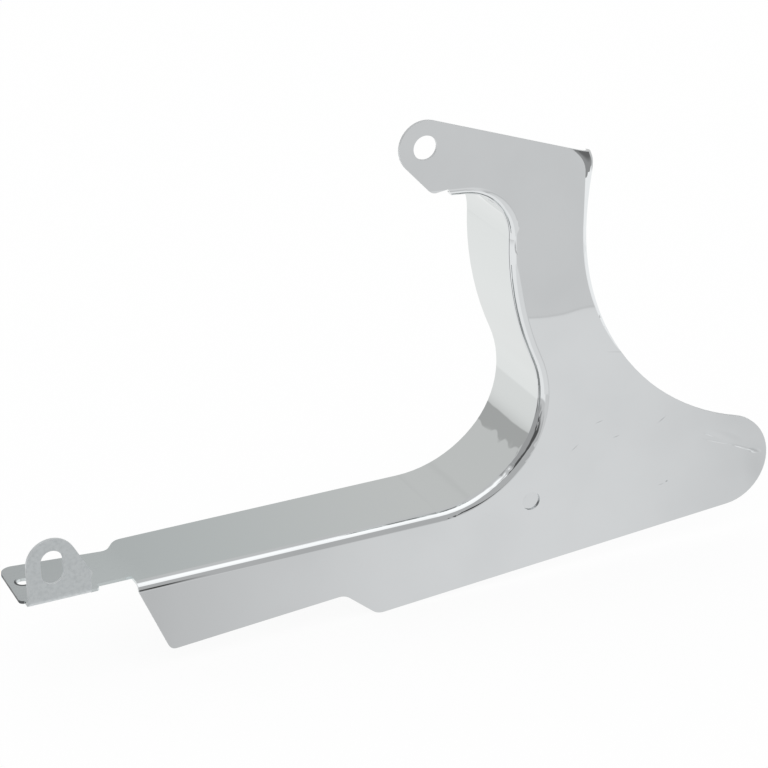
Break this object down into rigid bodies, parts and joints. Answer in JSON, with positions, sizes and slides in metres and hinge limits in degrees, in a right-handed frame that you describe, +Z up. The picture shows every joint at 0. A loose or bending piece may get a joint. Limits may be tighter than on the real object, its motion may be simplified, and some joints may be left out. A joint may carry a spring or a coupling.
{
  "type": "rear belt guard",
  "caption": "Folded sheet guard: flat side plate with a flange that runs along an arm and up an upright, bolt ears at both ends, over a drive belt.",
  "frame": {"origin": "middle of the upper ear's bolt hole, on the outer face of the side plate", "axes": "+X rearwards along the arm, +Y inwards from the outer face towards the machine, +Z up"},
  "size_m": [0.3928, 0.0483, 0.2476],
  "materials": {
    "chrome": "polished"
  },
  "bodies": {
    "root": {"belt_guard": "chrome"}
  },
  "joints": []
}
